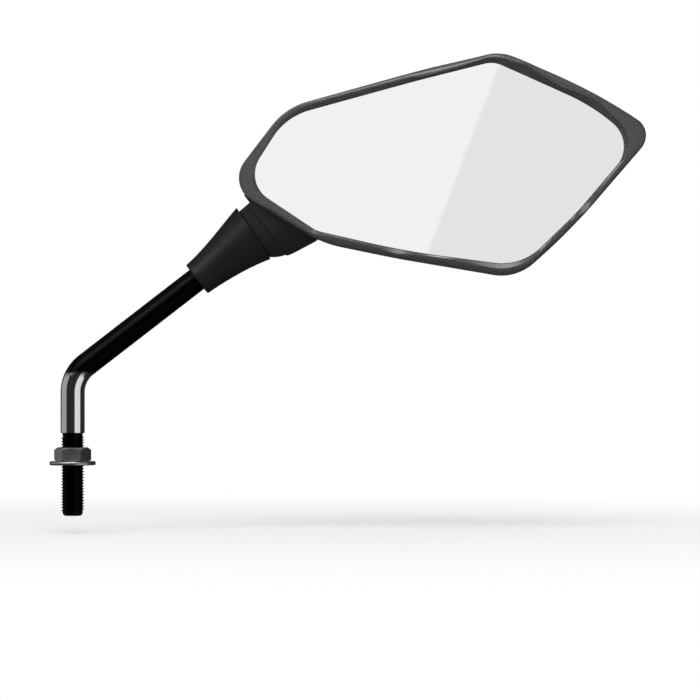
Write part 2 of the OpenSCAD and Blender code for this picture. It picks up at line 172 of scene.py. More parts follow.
# Name, place, width and power of each lamp
LAMPS = (("softbox", (0.1, -0.85, 1.15), 0.6, 8.0), ("key", (-0.75, -0.95, 0.95), 0.75, 7.0))
FLOOR_Z = -0.03
FLOOR_FAR = 4.0
# The floor's shadow is lifted towards white by a share that grows from the near to the far reach
SHADOW_CENTRE = (0.06, 0.0, FLOOR_Z)
SHADOW_NEAR, SHADOW_FAR, SHADOW_LIFT = 0.1, 0.45, 0.45
BOARD_FAR = 0.33
# How far the board reaches past the glass, in millimetres
BOARD_MARGIN = 5.0
# The edge between the board's two tones, as a direction across it and the distance along that
BOARD_SPLIT_SIDE = (0.9341, 0.0, -0.3570)
BOARD_SPLIT = 0.1180
BOARD_SOFT = 0.002
BOARD_TONES = (0.955, 0.835)
# Pale panels that show in gloss: first and last turn from -Y in radians, lowest and highest rise, strength
PANELS = ((0.42, 1.42, -0.55, 0.1, 0.95), (-2.2, -1.0, -0.1, 0.5, 0.45))
# Strength of the even light, and of what gloss shows of the studio: elsewhere, behind and above
EVEN_LIGHT = 0.5
STUDIO, STUDIO_BEHIND, STUDIO_ABOVE = 0.03, 0.08, 0.6
WHITE = (1.0, 1.0, 1.0, 1.0)
# Turns and rises over which a panel's sides, foot and top fade
PANEL_SIDE, PANEL_FOOT, PANEL_TOP = 0.05, 0.06, 0.1


def size(name, description, millimetres):
    """A length that a user can change, given here in millimetres."""
    return FloatProperty(
        name=name, description=description, default=millimetres * MM, min=0.0, precision=5, unit="LENGTH"
    )


def linear(hex_colour):
    """An sRGB hex value as linear colour with full alpha."""
    parts = [int(hex_colour[i : i + 2], 16) / 255 for i in (1, 3, 5)]
    return [p / 12.92 if p <= 0.04045 else ((p + 0.055) / 1.055) ** 2.4 for p in parts] + [1.0]


def colour(name, description, hex_colour):
    """A finish's colour that a user can change, given here as sRGB hex."""
    return FloatVectorProperty(
        name=name, description=description, default=linear(hex_colour), size=4, min=0.0, max=1.0,
        subtype="COLOR",
    )


class StemSizes(bpy.types.PropertyGroup):
    """Sizes of the bent rod, its stud and what is on it"""

    rod_d: size("Rod diameter", "Diameter of the bent rod", 10.5)
    stud_d: size("Stud diameter", "Diameter over the stud's thread", 10)
    riser_h: size("Riser height", "Height of the bend's corner above the washer's seat", 39)
    bend_r: size("Bend radius", "Radius of the bend at the rod's centreline", 15)
    spigot_d: size("Spigot diameter", "Diameter of the thinner end that carries the ball", 8)
    stud_l: size("Stud length", "Length of the stud below the washer's seat", 22)
    thread_top: size("Thread top", "Height at which the thread ends above the washer's seat", 13.6)
    nut_flats: size("Nut size", "Lock nut across its flats", 14)
    nut_h: size("Nut height", "Height of the lock nut", 6)
    washer_d: size("Washer diameter", "Outside diameter of the washer", 20)
    washer_t: size("Washer thickness", "Thickness of the washer", 1.6)
    sides: IntProperty(name="Sides", description="Facets round the rod", default=64, min=12, max=128)


class JointSizes(bpy.types.PropertyGroup):
    """Sizes of the boot and of the ball joint's hidden pieces"""

    boot_small_d: size("Boot's small end", "Diameter of the boot where it grips the rod", 15.6)
    boot_mouth_d: size("Boot's mouth", "Diameter of the boot where it meets the neck", 26.8)
    boot_l: size("Boot length", "Length of the boot", 31.7)
    boot_lip: size("Boot lip", "Width of the flat ring at the boot's mouth", 0.5)
    boot_hollow_r: size("Boot hollow", "Radius of the hollow that the neck's nose turns in", 16.35)
    boot_bend: FloatProperty(
        name="Boot bend", description="Lean of the soft boot's mouth", default=math.radians(4),
        subtype="ANGLE",
    )
    ball_cover: size("Ball cover", "Radius over the seat and cup that hold the ball", 9)
    seat_boss: size("Seat boss", "Height of the spring seat's boss", 2)
    tube_l: size("Tube length", "Length of the socket tube from the ball's centre", 17)
    spring_d: size("Spring diameter", "Outside diameter of the pressure spring", 14)
    spring_wire: size("Spring wire", "Diameter of the spring's wire", 1.6)
    spring_turns: FloatProperty(
        name="Spring turns", description="Turns of the spring", default=2.5, min=1, max=6
    )


class HeadSizes(bpy.types.PropertyGroup):
    """Sizes of the head and its glass"""

    dome_h: size("Dome depth", "Depth of the dome behind the rim", 30)
    rim_h: size("Rim depth", "Depth of the rim band in front of the dome", 8.5)
    wall: size("Wall", "Wall of the housing", 2.5)
    neck_d: size("Neck diameter", "Diameter of the neck at its collar", 32.2)
    glass_t: size("Glass thickness", "Thickness of the glass", 2)
    glass_r: size("Glass radius", "Radius of the convex glass", 1400)
    glass_recess: size("Glass recess", "Depth of the middle of the glass behind the rim's crest", 1.3)
    glass_bevel: size("Glass bevel", "Width of the ground edge of the glass", 0.2)
    screw_head_d: size("Plate screw head", "Diameter of the heads of the backing plate's screws", 6.8)
    screw_shank_d: size("Plate screw shank", "Diameter of the shanks of the backing plate's screws", 4)


class Finishes(bpy.types.PropertyGroup):
    """Colours of the finishes"""

    # The rim is the same black ABS as the shell, drawn paler as a painted highlight
    rim: colour("Rim plastic", "Smooth moulded rim round the glass", "#383839")
    plastic: colour("Shell plastic", "Grained shell and neck", "#1e1e1f")
    rubber: colour("Boot rubber", "Boot over the ball joint", "#161718")
    satin_black: colour("Matt coat", "Matt black coat on the arm", "#121213")
    gloss_black: colour("Black chrome", "Bright coat on the bend and upright", "#d9d9db")
    zinc: colour("Zinc plate", "Nut, washer and screws", "#a9abad")
    steel: colour("Polished steel", "Ball at the end of the rod", "#c4c5c8")
    silver: colour("Silvering", "Reflecting layer of the glass", "#f6f6f6")
    glass_edge: colour("Glass edge", "Ground edge of the glass", "#9aa3a1")
    nylon: colour("Natural nylon", "Ball seat and pressure cup", "#d8d4c6")
    foam: colour("Foam", "Pad behind the glass", "#3a3a3c")
    plate: colour("Plate plastic", "Backing plate of the glass", "#303133")


# Mesh helpers


def new_object(name, vertices, faces, sharp=35.0):
    """A smooth mesh object with its place in its vertices, and edges sharper than an angle kept crisp."""
    mesh = bpy.data.meshes.new(name)
    mesh.from_pydata([tuple(v) for v in vertices], [], faces)
    mesh.update()
    obj = bpy.data.objects.new(name, mesh)
    bpy.context.scene.collection.objects.link(obj)
    shade(obj, sharp)
    return obj


def shade(obj, sharp):
    """Smooth shading with edges kept where the surface turns by more than an angle in degrees."""
    obj.data.shade_smooth()
    obj.data.set_sharp_from_angle(angle=math.radians(sharp))


def ring_faces(rows, count, closed_ends=True):
    """Faces of a tube of rows, each a closed ring of count points, with its ends closed or left open."""
    faces = []
    for i in range(rows - 1):
        for j in range(count):
            k = (j + 1) % count
            faces.append((i * count + j, i * count + k, (i + 1) * count + k, (i + 1) * count + j))
    if closed_ends:
        faces.append(tuple(reversed(range(count))))
        faces.append(tuple((rows - 1) * count + j for j in range(count)))
    return faces


def outward(obj):
    """Turns the faces of a closed mesh outwards."""
    work = bmesh.new()
    work.from_mesh(obj.data)
    bmesh.ops.recalc_face_normals(work, faces=work.faces)
    work.to_mesh(obj.data)
    work.free()


def revolve(name, profile, start, along, sides=96, sharp=35.0):
    """A closed body turned round an axis, from a closed profile of radius and place along the axis."""
    across = along.orthogonal().normalized()
    other = along.cross(across)
    vertices, faces, rings = [], [], []
    for radius, place in profile:
        centre = start + along * place
        if radius < 1e-7:
            rings.append([len(vertices)])
            vertices.append(centre)
            continue
        rings.append(list(range(len(vertices), len(vertices) + sides)))
        for j in range(sides):
            turn = 2 * math.pi * j / sides
            vertices.append(centre + (across * math.cos(turn) + other * math.sin(turn)) * radius)
    for ring, following in zip(rings, rings[1:] + rings[:1]):
        if len(ring) == 1 and len(following) == 1:
            continue
        for j in range(sides):
            corners = [ring[j % len(ring)], ring[(j + 1) % len(ring)]]
            corners += [following[(j + 1) % len(following)], following[j % len(following)]]
            faces.append(tuple(dict.fromkeys(corners)))
    obj = new_object(name, vertices, faces, sharp)
    outward(obj)
    shade(obj, sharp)
    return obj


def arc(radius, first, last, step=3.0):
    """Points of an arc about the ball's centre, from one angle off the arm to another, in degrees."""
    count = max(2, math.ceil(abs(last - first) / step))
    angles = [math.radians(first + (last - first) * i / count) for i in range(count + 1)]
    return [(radius * math.sin(a), -radius * math.cos(a)) for a in angles]


def combine(obj, other, operation):
    """Joins or cuts one closed mesh with another, and removes the other."""
    step = obj.modifiers.new("combine", "BOOLEAN")
    step.object = other
    step.operation = operation
    step.solver = "MANIFOLD"
    made = bpy.data.meshes.new_from_object(obj.evaluated_get(bpy.context.evaluated_depsgraph_get()))
    obj.modifiers.clear()
    obj.data = made
    bpy.data.objects.remove(other)


def finish_piece(obj, body, replaced=(), materials=()):
    """Gives a finished piece its materials, puts it under the empty of the body that carries it, and hides the
    frame's parts that it stands for.
    """
    if materials:
        obj.data.materials.clear()
        for material in materials:
            obj.data.materials.append(material)
    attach(obj, body)
    if replaced:
        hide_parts(*replaced)


# Node helpers


def add(tree, kind, inputs=None, **settings):
    """Adds a node with its settings, and links or sets each named input."""
    node = tree.nodes.new(kind)
    for key, value in settings.items():
        setattr(node, key, value)
    for key, value in (inputs or {}).items():
        if isinstance(value, bpy.types.NodeSocket):
            tree.links.new(value, node.inputs[key])
        else:
            node.inputs[key].default_value = value
    return node


def new_material(name, **constants):
    """A material whose surface is one shader with constant values on its own sockets."""
    material = bpy.data.materials.new(name)
    material.use_nodes = True
    shader = material.node_tree.nodes["Principled BSDF"]
    for key, value in constants.items():
        shader.inputs[key.replace("_", " ")].default_value = value
    return material, material.node_tree, shader


def grained(name, base, contrast, grain, depth, rough, spread, edge=0.0, **constants):
    """A material with fine tone and relief at a grain size, broader gloss, and its sharp edges softened."""
    material, tree, shader = new_material(name, **constants)
    place = add(tree, "ShaderNodeTexCoord").outputs["Object"]
    fine = add(
        tree, "ShaderNodeTexNoise", {"Vector": place, "Scale": 1 / grain, "Detail": 3.0, "Roughness": 0.6}
    ).outputs["Fac"]
    # Patches some 30 mm wide keep tone and gloss from being the same all over
    broad = add(tree, "ShaderNodeTexNoise", {"Vector": place, "Scale": 30.0, "Detail": 2.0}).outputs["Fac"]
    both = add(tree, "ShaderNodeMath", {0: fine, 1: broad}, operation="MULTIPLY").outputs[0]
    tone = add(tree, "ShaderNodeMapRange", {"Value": both, "From Min": 0.1, "From Max": 0.45}).outputs[0]
    dark = [c * (1 - contrast) for c in base[:3]] + [1.0]
    light = [min(1.0, c * (1 + contrast)) for c in base[:3]] + [1.0]
    mixed = add(tree, "ShaderNodeMix", {0: tone, 6: dark, 7: light}, data_type="RGBA").outputs[2]
    tree.links.new(mixed, shader.inputs["Base Color"])
    gloss = add(
        tree, "ShaderNodeMapRange",
        {"Value": broad, "From Min": 0.3, "From Max": 0.7, "To Min": rough, "To Max": rough + spread},
    ).outputs[0]
    tree.links.new(gloss, shader.inputs["Roughness"])
    relief = add(tree, "ShaderNodeBump", {"Height": fine, "Strength": 1.0, "Distance": depth})
    if edge:
        rounded_edge = add(tree, "ShaderNodeBevel", {"Radius": edge}, samples=4)
        tree.links.new(rounded_edge.outputs["Normal"], relief.inputs["Normal"])
    tree.links.new(relief.outputs["Normal"], shader.inputs["Normal"])
    return material


# Finishes


def rim_plastic_painted_sheen(finishes):
    """Black ABS from a polished mould: a smooth rim with clear grey reflections on its flats and slopes. Its
    colour is paler than the shell's, though both are the same black ABS, and this paints on part of that grey
    as highlight.
    """
    # The polish has no grain to see, so only a very faint flow of the melt is left, about 4 mm wide
    return grained(
        "Moulded ABS, polished tool", finishes.rim, IOR=1.54,
        contrast=0.02, grain=0.004, depth=0.0000004, rough=0.28, spread=0.03,
    )


def shell_plastic(finishes):
    """Black ABS from a spark-eroded mould: a fine even grain that keeps the shell and neck dull and dark."""
    # Real grain is about 0.1 mm, too fine for the picture, so it is drawn at 0.5 mm
    return grained(
        "Moulded ABS, spark eroded", finishes.plastic, IOR=1.52, Specular_IOR_Level=0.22,
        contrast=0.14, grain=0.0005, depth=0.000005, rough=0.46, spread=0.1, edge=0.0004,
    )


def boot_rubber(finishes):
    """Moulded black EPDM: soft broad highlights, and a faint bloom that lifts the tone in patches."""
    # The bloom's specks are under 0.2 mm, drawn at 0.7 mm
    return grained(
        "Moulded EPDM rubber", finishes.rubber, IOR=1.5, Specular_IOR_Level=0.3,
        contrast=0.22, grain=0.0007, depth=0.000006, rough=0.38, spread=0.12, edge=0.0003,
    )


def black_chrome(finishes):
    """Black chrome on steel: bright bands in deep black on the bend and upright, matt black elsewhere."""
    material, tree, shader = new_material("Black chrome on steel", Metallic=1.0)
    place = add(tree, "ShaderNodeTexCoord").outputs["Object"]
    height = add(tree, "ShaderNodeSeparateXYZ", {"Vector": place}).outputs["Z"]
    # The coat's edge is sprayed, so it wanders over some 4 mm
    wander = add(tree, "ShaderNodeTexNoise", {"Vector": place, "Scale": 260.0, "Detail": 2.0}).outputs["Fac"]
    edge = add(
        tree, "ShaderNodeMath", {0: wander, 1: MATT_WANDER, 2: height}, operation="MULTIPLY_ADD"
    ).outputs[0]
    # The matt coat starts in the bend, 39 mm up, and the stud below the shoulder is dull too
    upper = add(
        tree, "ShaderNodeMapRange", {"Value": edge, "From Min": MATT_START, "From Max": MATT_FULL},
        interpolation_type="SMOOTHSTEP",
    ).outputs[0]
    lower = add(
        tree, "ShaderNodeMapRange", {"Value": height, "From Min": STUD_BRIGHT, "From Max": STUD_DULL}
    ).outputs[0]
    matt = add(tree, "ShaderNodeMath", {0: upper, 1: lower}, operation="MAXIMUM").outputs[0]
    coat = add(
        tree, "ShaderNodeMix", {0: matt, 6: finishes.gloss_black, 7: finishes.satin_black}, data_type="RGBA"
    ).outputs[2]
    tree.links.new(coat, shader.inputs["Base Color"])
    # The matt part's grain is about 0.05 mm, drawn at 0.7 mm so that it shows
    grain = add(tree, "ShaderNodeTexNoise", {"Vector": place, "Scale": 1400.0, "Detail": 2.0}).outputs["Fac"]
    rough = add(tree, "ShaderNodeMapRange", {"Value": matt, "To Min": 0.04, "To Max": 0.32}).outputs[0]
    varied = add(
        tree, "ShaderNodeMath", {0: grain, 1: 0.05, 2: rough}, operation="MULTIPLY_ADD"
    ).outputs[0]
    tree.links.new(varied, shader.inputs["Roughness"])
    return material


def zinc_plate(finishes):
    """Zinc-plated steel: a soft metal sheen with faint cloudy tone from the bath."""
    # Crystals of the plate are far too fine to see, so the clouds are drawn at 1.2 mm
    return grained(
        "Zinc-plated steel", finishes.zinc, Metallic=1.0,
        contrast=0.12, grain=0.0012, depth=0.000003, rough=0.28, spread=0.14,
    )


def polished_steel(finishes):
    """Ground and polished steel ball: bright, with a little unevenness from lapping."""
    # Lapping marks are a few hundredths of a millimetre wide, drawn at 0.9 mm
    return grained(
        "Polished steel", finishes.steel, Metallic=1.0,
        contrast=0.05, grain=0.0009, depth=0.000001, rough=0.08, spread=0.06,
    )


def natural_nylon(finishes):
    """Natural moulded nylon: creamy and slightly waxy, with light under its surface."""
    # Its mould's fine turning marks are under 0.1 mm, drawn at 1.5 mm
    return grained(
        "Natural nylon", finishes.nylon, IOR=1.53, Subsurface_Weight=0.1, Subsurface_Scale=0.001,
        contrast=0.05, grain=0.0015, depth=0.000003, rough=0.38, spread=0.1,
    )


def cell_foam(finishes):
    """Closed-cell foam: matt, with small open pores at its skin."""
    # Its pores are about 0.3 mm, drawn at 0.9 mm
    return grained(
        "Closed-cell foam", finishes.foam, IOR=1.4,
        contrast=0.3, grain=0.0009, depth=0.00006, rough=0.8, spread=0.1,
    )


def plate_plastic(finishes):
    """Moulded filled polypropylene: greyer and duller than the housing, with a faint flow texture."""
    # Flow marks of the filler are about 1 mm wide, drawn at their real size
    return grained(
        "Filled polypropylene", finishes.plate, IOR=1.49,
        contrast=0.12, grain=0.001, depth=0.000005, rough=0.5, spread=0.1,
    )


def silvered_glass(finishes):
    """Silvered glass: a clean mirror with a very slight haze."""
    material, tree, shader = new_material("Silvered glass", Metallic=1.0)
    place = add(tree, "ShaderNodeTexCoord").outputs["Object"]
    # Haze from handling lies in patches some 50 mm wide
    haze = add(tree, "ShaderNodeTexNoise", {"Vector": place, "Scale": 18.0, "Detail": 3.0}).outputs["Fac"]
    rough = add(
        tree, "ShaderNodeMapRange",
        {"Value": haze, "From Min": 0.35, "From Max": 0.7, "To Min": 0.006, "To Max": 0.016},
    ).outputs[0]
    tree.links.new(rough, shader.inputs["Roughness"])
    shader.inputs["Base Color"].default_value = finishes.silver
    return material


def ground_edge(finishes):
    """Ground edge of the glass: grey-green, frosted by the wheel."""
    # Scratches of the wheel are under 0.1 mm, drawn at 0.6 mm
    return grained(
        "Ground glass edge", finishes.glass_edge, IOR=1.52,
        contrast=0.2, grain=0.0006, depth=0.000005, rough=0.3, spread=0.2,
    )


# Outlines of the head


def sides_at(corners, i):
    """Directions from a corner of an outline along its two sides."""
    x, z, _ = corners[i]
    ends = corners[i - 1], corners[(i + 1) % len(corners)]
    return [Vector((end[0] - x, end[1] - z)).normalized() for end in ends]


def inset(corners, d):
    """Each side of an outline moved inward by a distance."""
    moved = []
    for i, (x, z, radius) in enumerate(corners):
        a, b = sides_at(corners, i)
        turn = math.acos(a.dot(b))
        across, up = (a.x + b.x) * d / math.sin(turn), (a.y + b.y) * d / math.sin(turn)
        moved.append((x + across, z + up, max(radius - d, 1)))
    return moved


def shrink(corners, centre, share):
    """An outline drawn smaller towards a centre."""
    return [
        (centre[0] + (x - centre[0]) * share, centre[1] + (z - centre[1]) * share, radius * share)
        for x, z, radius in corners
    ]


def rounded(corners):
    """Points of an outline with rounded corners and subdivided sides, in millimetres."""
    arcs = []
    for i, (x, z, radius) in enumerate(corners):
        a, b = sides_at(corners, i)
        half = math.acos(a.dot(b)) / 2
        centre = Vector((x, z)) + (a + b).normalized() * radius / math.sin(half)
        first = Vector((x, z)) + a * radius / math.tan(half) - centre
        start = math.atan2(first.y, first.x)
        turns = [start - (math.pi - 2 * half) * k / ARC_STEPS for k in range(ARC_STEPS + 1)]
        arcs.append([centre + radius * Vector((math.cos(turn), math.sin(turn))) for turn in turns])
    points = []
    for this, following in zip(arcs, arcs[1:] + arcs[:1]):
        points += this
        points += [this[-1].lerp(following[0], k / EDGE_STEPS) for k in range(1, EDGE_STEPS)]
    return points


def dome_y(x, angle, depth):
    """Depth of the dome at a place across it, deepest near the neck."""
    return DOME_START + depth * math.sin(angle) * (1 - TIP_TAPER * max(0.0, x - DOME_CENTRE[0]) / DOME_REACH)


def in_place(x, y, z):
    """A point given round the ball's centre in millimetres, in the shared frame."""
    return BALL + Vector((x, y, z)) * MM


def head_rings(rings, front, back, name):
    """A closed body over rings that run from front to back, in millimetres."""
    count = len(rings[0])
    vertices = [in_place(*p) for ring in rings for p in ring] + [in_place(*front), in_place(*back)]
    faces = ring_faces(len(rings), count, closed_ends=False)
    last = (len(rings) - 1) * count
    tip = len(rings) * count
    for j in range(count):
        k = (j + 1) % count
        faces.append((tip, k, j))
        faces.append((tip + 1, last + j, last + k))
    obj = new_object(name, vertices, faces)
    outward(obj)
    return obj


def rim_shape():
    """For each point of the rim: its places outside and at the glass, and its slope's and bead's shares."""
    shapes = []
    for outer, inner in zip(rounded(OUTER), rounded(inset(GLASS, -GLASS_GAP))):
        width = (inner - outer).length
        turn = math.degrees(math.atan2(inner.y - GLASS_CENTRE[1], inner.x - GLASS_CENTRE[0])) % 360
        for low, high in zip(RIM_FORM, RIM_FORM[1:]):
            if low[0] <= turn <= high[0]:
                t = (turn - low[0]) / (high[0] - low[0])
                t = t * t * (3 - 2 * t)
                slope = min(low[1] + (high[1] - low[1]) * t, SLOPE_SHARE * width)
                bead = (width - slope) * (low[2] + (high[2] - low[2]) * t)
                shapes.append((outer, inner, slope / width, bead / width))
    return shapes


def rim_ring(corners, y):
    """A ring of the rim at one depth."""
    return [(p.x, y, p.y) for p in rounded(corners)]


def dome_ring(corners, angle, depth):
    """A ring of the dome, at an angle from its start to its crown."""
    return [(p.x, dome_y(p.x, angle, depth), p.y) for p in rounded(corners)]


def dome_corners(angle):
    """Corners of the dome's outline at an angle from its start to its crown."""
    return shrink(OUTER, DOME_CENTRE, 1 - (1 - CROWN_SHARE) * (1 - math.cos(angle)))


# Operators


class StemOperator(bpy.types.Operator):
    """Sweeps the bent rod with its shoulder and spigot, and winds the stud's thread on it"""

    bl_idname = "mirror.stem"
    bl_label = "Stem"

    def execute(self, context):
        sizes, finishes = context.scene.mirror_stem, context.scene.mirror_finishes
        coat = black_chrome(finishes)
        rod = sweep("rod", rod_path(sizes), circle(1.0, sizes.sides), coat)
        finish_piece(rod, "stem", ["stem"])
        bottom, top = -sizes.stud_l + THREAD_LOW, sizes.thread_top - THREAD_HIGH
        turns = (top - bottom) / THREAD_PITCH
        path = wind(Vector((0, 0, bottom)), UP, thread_root(sizes), top - bottom, turns, TURN_STEPS)
        # The thread runs out to nothing at both ends
        last = len(path) - 1
        for i, (place, _) in enumerate(path):
            path[i] = (place, max(THREAD_END, min(1.0, i / FADE_STEPS, (last - i) / FADE_STEPS)))
        ridge = [
            (-THREAD_SUNK, -THREAD_FOOT), (THREAD_DEPTH, -THREAD_CREST), (THREAD_DEPTH, THREAD_CREST),
            (-THREAD_SUNK, THREAD_FOOT),
        ]
        thread = sweep("stud_thread", path, ridge, coat, sharp=40.0, twist="Z_UP")
        finish_piece(thread, "stem")
        return {"FINISHED"}


def circle(radius, sides):
    """Points of a round section."""
    turns = [2 * math.pi * k / sides for k in range(sides)]
    return [(radius * math.cos(turn), radius * math.sin(turn)) for turn in turns]


def thread_root(sizes):
    """Radius at the bottom of the stud's thread."""
    return sizes.stud_d / 2 - THREAD_DEPTH


def wind(start, along, radius, rise, turns, steps):
    """Points of a coil round an axis, each with a section scale of 1."""
    across = Vector((along.z, 0, -along.x)).normalized()
    other = along.cross(across)
    count = math.ceil(turns * steps)
    points = []
    for i in range(count + 1):
        a = 2 * math.pi * turns * i / count
        out = (across * math.cos(a) + other * math.sin(a)) * radius
        points.append((start + out + along * rise * i / count, 1.0))
    return points


def rod_path(sizes):
    """Points of the rod's centreline from the stud's end to the ball, each with the rod's radius there."""
    radius, spigot, root = sizes.rod_d / 2, sizes.spigot_d / 2, thread_root(sizes)
    turn = math.acos(ARM.z)
    setback = sizes.bend_r * math.tan(turn / 2)
    top = sizes.thread_top
    points = [
        (Vector((0, 0, -sizes.stud_l)), root - STUD_POINT),
        (Vector((0, 0, -sizes.stud_l + STUD_POINT)), root),
        (Vector((0, 0, top)), root),
        (Vector((0, 0, top + SHOULDER_EDGE)), radius),
    ]
    centre = Vector((sizes.bend_r, 0, sizes.riser_h - setback))
    for i in range(BEND_STEPS + 1):
        a = turn * i / BEND_STEPS
        points.append((centre + sizes.bend_r * Vector((-math.cos(a), 0, math.sin(a))), radius))
    shoulder = -NOSE_R * MM - SPIGOT_OUT
    for place, thick in ((shoulder, radius), (shoulder + SPIGOT_STEP, spigot), (0.0, spigot)):
        points.append((BALL + ARM * place, thick))
    return points


def new_tree(name, inputs, output):
    """A geometry tree with named inputs and one named output, and its input sockets."""
    tree = bpy.data.node_groups.new(name, "GeometryNodeTree")
    for label, kind in inputs:
        tree.interface.new_socket(label, in_out="INPUT", socket_type="NodeSocket" + kind)
    tree.interface.new_socket(output, in_out="OUTPUT", socket_type="NodeSocketGeometry")
    return tree, add(tree, "NodeGroupInput").outputs


def end_tree(tree, geometry, finish, output):
    """Ends a tree with real geometry in its finish."""
    real = add(tree, "GeometryNodeRealizeInstances", {"Geometry": geometry}).outputs["Geometry"]
    coated = add(tree, "GeometryNodeSetMaterial", {"Geometry": real, "Material": finish})
    add(tree, "NodeGroupOutput", {output: coated.outputs["Geometry"]})
    return tree


def sweep_tree():
    """Node tree that sweeps a section along a path, scaled by the path's own radius."""
    sockets = (("Path", "Geometry"), ("Section", "Object"), ("Finish", "Material"))
    tree, inputs = new_tree("Sweep a section", sockets, "Bar")
    section = add(tree, "GeometryNodeObjectInfo", {"Object": inputs["Section"]}).outputs["Geometry"]
    scale = add(tree, "GeometryNodeInputRadius").outputs[0]
    bar = add(
        tree, "GeometryNodeCurveToMesh",
        {"Curve": inputs["Path"], "Profile Curve": section, "Scale": scale, "Fill Caps": True},
    )
    return end_tree(tree, bar.outputs["Mesh"], inputs["Finish"], "Bar")


def screws_tree():
    """Node tree that puts a screw on each point, turned to one direction."""
    sockets = (
        ("Places", "Geometry"), ("Screw", "Object"), ("Direction", "Vector"), ("Turn spread", "Float"),
        ("Finish", "Material"),
    )
    tree, inputs = new_tree("Set screws", sockets, "Screws")
    screw = add(tree, "GeometryNodeObjectInfo", {"Object": inputs["Screw"]}).outputs["Geometry"]
    facing = add(tree, "FunctionNodeAlignRotationToVector", {"Vector": inputs["Direction"]}, axis="Z")
    # Each screw stops at its own turn, as real ones do
    turn = add(
        tree, "FunctionNodeRandomValue", {2: 0.0, 3: inputs["Turn spread"], "Seed": 7}, data_type="FLOAT"
    ).outputs[1]
    about = add(tree, "ShaderNodeCombineXYZ", {"Z": turn}).outputs[0]
    turned = add(
        tree, "FunctionNodeRotateRotation", {0: facing.outputs[0], 1: about}, rotation_space="LOCAL"
    ).outputs[0]
    placed = add(
        tree, "GeometryNodeInstanceOnPoints",
        {"Points": inputs["Places"], "Instance": screw, "Rotation": turned},
    )
    return end_tree(tree, placed.outputs["Instances"], inputs["Finish"], "Screws")


def run_tree(obj, tree, values):
    """Runs a node tree on an object with named inputs, and returns the result as a plain mesh."""
    step = obj.modifiers.new("make", "NODES")
    step.node_group = tree
    for socket in tree.interface.items_tree:
        if socket.item_type == "SOCKET" and socket.in_out == "INPUT" and socket.name in values:
            step[socket.identifier] = values[socket.name]
    made = bpy.data.meshes.new_from_object(obj.evaluated_get(bpy.context.evaluated_depsgraph_get()))
    obj.modifiers.clear()
    return made


def curve_object(name, points, closed, twist="MINIMUM"):
    """A curve object of straight steps through points, each with its radius."""
    curve = bpy.data.curves.new(name, "CURVE")
    curve.dimensions = "3D"
    curve.twist_mode = twist
    spline = curve.splines.new("POLY")
    spline.points.add(len(points) - 1)
    spline.use_cyclic_u = closed
    for point, (place, radius) in zip(spline.points, points):
        point.co = (*place, 1.0)
        point.radius = radius
    obj = bpy.data.objects.new(name, curve)
    bpy.context.scene.collection.objects.link(obj)
    return obj


def sweep(name, points, outline, finish, sharp=30.0, twist="MINIMUM"):
    """A bar with a closed section, swept along points that each scale it."""
    path = curve_object(name + "_path", points, False, twist)
    section = curve_object(name + "_section", [((*p, 0.0), 1.0) for p in outline], True)
    made = run_tree(path, sweep_tree(), {"Section": section, "Finish": finish})
    bpy.data.objects.remove(path)
    bpy.data.objects.remove(section)
    return plain_object(name, made, sharp)


def set_screws(name, screw, places, direction, spread, finish):
    """Copies of a screw at several places, as one mesh."""
    spots = new_object(name + "_places", places, [])
    values = {"Screw": screw, "Direction": direction, "Turn spread": spread, "Finish": finish}
    made = run_tree(spots, screws_tree(), values)
    bpy.data.objects.remove(spots)
    bpy.data.objects.remove(screw)
    return plain_object(name, made, sharp=35.0)


def plain_object(name, mesh, sharp):
    """An object of a finished mesh, with its faces outwards and its sharp edges kept."""
    mesh.name = name
    obj = bpy.data.objects.new(name, mesh)
    bpy.context.scene.collection.objects.link(obj)
    outward(obj)
    shade(obj, sharp)
    return obj


class BootOperator(bpy.types.Operator):
    """Turns the tapered boot with a rolled edge at its mouth"""

    bl_idname = "mirror.boot"
    bl_label = "Boot"

    def execute(self, context):
        sizes, finishes = context.scene.mirror_joint, context.scene.mirror_finishes
        small, mouth, hollow = sizes.boot_small_d / 2, sizes.boot_mouth_d / 2, sizes.boot_hollow_r
        end = -math.sqrt(hollow**2 - (mouth - sizes.boot_lip) ** 2)
        start = end - sizes.boot_l
        grip = context.scene.mirror_stem.rod_d / 2 + CONTACT_GAP
        profile = [(grip, start)]
        profile += [(small - BOOT_EDGE * a, start + BOOT_EDGE * b) for a, b in ((1, 0), (0.3, 0.3), (0, 1))]
        for i in range(1, BOOT_STEPS):
            t = i / BOOT_STEPS
            profile.append((small + (mouth - small) * t**BOOT_CURVE, start + sizes.boot_l * t))
        profile += [(mouth - BOOT_MOUTH_EDGE / 4, end - BOOT_MOUTH_EDGE), (mouth - BOOT_MOUTH_EDGE, end)]
        profile += arc(hollow, math.degrees(math.asin((mouth - sizes.boot_lip) / hollow)), BOOT_THROAT)
        profile += [(small - BOOT_WALL, start + BOOT_GRIP_L), (grip, start + BOOT_GRIP_L)]
        boot = revolve("boot_cover", profile, BALL, ARM)
        lean(boot, start, end, sizes.boot_bend)
        finish_piece(boot, "stem", ["boot"], [boot_rubber(finishes)])
        return {"FINISHED"}


def lean(boot, start, end, angle):
    """Turns the boot's mouth about the ball's centre, less and less towards the end that grips the rod."""
    for vertex in boot.data.vertices:
        share = min(1.0, max(0.0, ((vertex.co - BALL).dot(ARM) - start) / (end - start)))
        turn = Matrix.Rotation(angle * share**2, 3, BACK)
        vertex.co = BALL + turn @ (vertex.co - BALL)


